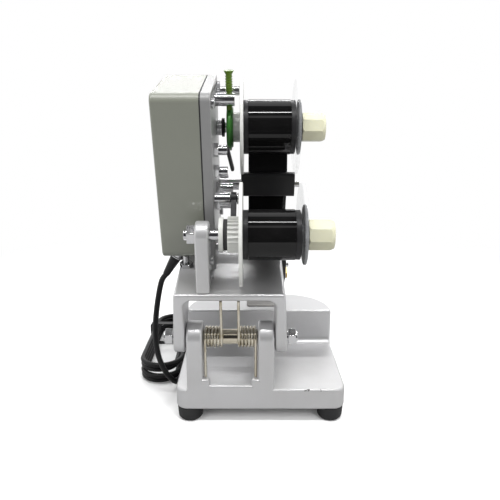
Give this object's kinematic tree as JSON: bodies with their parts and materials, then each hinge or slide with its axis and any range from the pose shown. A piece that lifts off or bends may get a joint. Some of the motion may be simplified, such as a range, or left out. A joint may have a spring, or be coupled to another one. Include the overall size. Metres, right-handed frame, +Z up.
{
  "type": "batch coding machine",
  "caption": "Hand-pressed hot-stamp coder: a sprung arm on a cast base carries a control box, foil reels with cream knobs and a heated type head over a work table.",
  "frame": {"origin": "on the floor under the middle of the machine without its mains lead", "axes": "+Z up, +Y towards the operator (the hinge is at -Y), +X towards the clamp knobs of the reels"},
  "size_m": [0.2155, 0.2603, 0.3219],
  "materials": {
    "cast_grey": "silver-grey paint on cast aluminium",
    "box_paint": "grey-green enamel",
    "chrome": "bright plated",
    "spring_wire": "bright drawn wire",
    "black_foil": "black hot-stamp foil",
    "black_plastic": "black moulded",
    "white_plastic": "milky white moulded",
    "cream_plastic": "cream nylon",
    "green_plastic": "green moulded",
    "lime_plastic": "light green moulded",
    "rubber": "black rubber",
    "pad_rubber": "grey silicone",
    "brass": "machined",
    "head_metal": "milled",
    "phenolic": "phenolic sheet",
    "board": "circuit board",
    "lamp": "red lens",
    "felt": "felt",
    "cord_rubber": "black PVC sheath"
  },
  "bodies": {
    "base": {"base_casting": "cast_grey", "rubber_feet": "rubber", "foot_screws": "chrome", "work_pad": "pad_rubber", "hinge_shaft": "chrome", "hinge_nuts": "chrome", "spring_sleeve": "chrome", "torsion_springs": "spring_wire", "power_cord": "cord_rubber", "cord_hank": "cord_rubber", "cord_tie": "cord_rubber", "cord_plug": "cord_rubber"},
    "supply_reel": {"supply_bobbin": "black_plastic", "supply_foil": "black_foil", "supply_inner_flange": "white_plastic", "supply_outer_flange": "white_plastic", "supply_collar": "black_plastic", "supply_knob": "cream_plastic", "brake_disc": "green_plastic"},
    "take_up_reel": {"take_up_bobbin": "black_plastic", "take_up_foil": "black_foil", "take_up_inner_flange": "white_plastic", "take_up_outer_flange": "white_plastic", "take_up_collar": "black_plastic", "take_up_knob": "cream_plastic", "ratchet_wheel": "white_plastic", "felt_washer": "felt", "friction_disc": "white_plastic"},
    "brake": {"brake_screw": "lime_plastic"},
    "pawl": {"feed_pawl": "black_plastic"},
    "dial": {"temp_dial": "black_plastic"},
    "rocker": {"power_switch": "black_plastic"},
    "type": {"type_holder": "brass", "type_slugs": "brass"},
    "arm": {"arm_casting": "cast_grey", "take_up_bracket": "cast_grey", "main_plate": "cast_grey", "frame_screws": "chrome", "control_box": "box_paint", "box_screws": "chrome", "box_post": "chrome", "pilot_lamp": "lamp", "control_board": "board", "supply_shaft": "chrome", "brake_post": "chrome", "take_up_shaft": "chrome", "pawl_pin": "chrome", "guide_posts": "chrome", "guide_bar": "black_plastic", "guide_rods": "chrome", "ink_ribbon": "black_foil", "head_bracket": "cast_grey", "head_insulator": "phenolic", "heater_block": "head_metal", "heater_cartridge": "chrome", "handle_rod": "chrome", "handle_grip": "black_plastic", "cord_gland": "chrome", "strain_relief": "cord_rubber"}
  },
  "joints": [
    {"name": "arm_press", "type": "hinge", "parent": "base", "child": "arm", "pos_m": [-0.022, -0.064, 0.082], "axis": [1, 0, 0], "range_deg": [-13, 0], "stiffness_Nm_per_rad": 4, "springref_deg": 80.21, "deforming": ["torsion_springs", "power_cord"]},
    {"name": "take_up_turn", "type": "hinge", "parent": "arm", "child": "take_up_reel", "pos_m": [0, -0.07698, 0.18266], "axis": [1, 0, 0], "continuous": true},
    {"name": "supply_turn", "type": "hinge", "parent": "arm", "child": "supply_reel", "pos_m": [0, 0.00224, 0.27074], "axis": [1, 0, 0], "continuous": true},
    {"name": "brake_adjust", "type": "hinge", "parent": "arm", "child": "brake", "pos_m": [-0.023, -0.01695, 0.29607], "axis": [0, -0.225, 0.9744], "continuous": true},
    {"name": "pawl_lift", "type": "hinge", "parent": "arm", "child": "pawl", "pos_m": [-0.02, -0.04932, 0.20957], "axis": [1, 0, 0], "range_deg": [-4, 14]},
    {"name": "dial_turn", "type": "hinge", "parent": "arm", "child": "dial", "pos_m": [-0.0655, 0.02885, 0.27996], "axis": [0, 0.9744, 0.225], "range_deg": [0, 270]},
    {"name": "switch_rock", "type": "hinge", "parent": "arm", "child": "rocker", "pos_m": [-0.0655, 0.03717, 0.23057], "axis": [1, 0, 0], "range_deg": [0, 10]},
    {"name": "type_slide", "type": "slide", "parent": "arm", "child": "type", "axis": [1, 0, 0], "range_m": [0, 0.045]}
  ],
  "couplings": [
    {"joint": "supply_turn", "follows": "take_up_turn", "ratio": 0.84615}
  ]
}
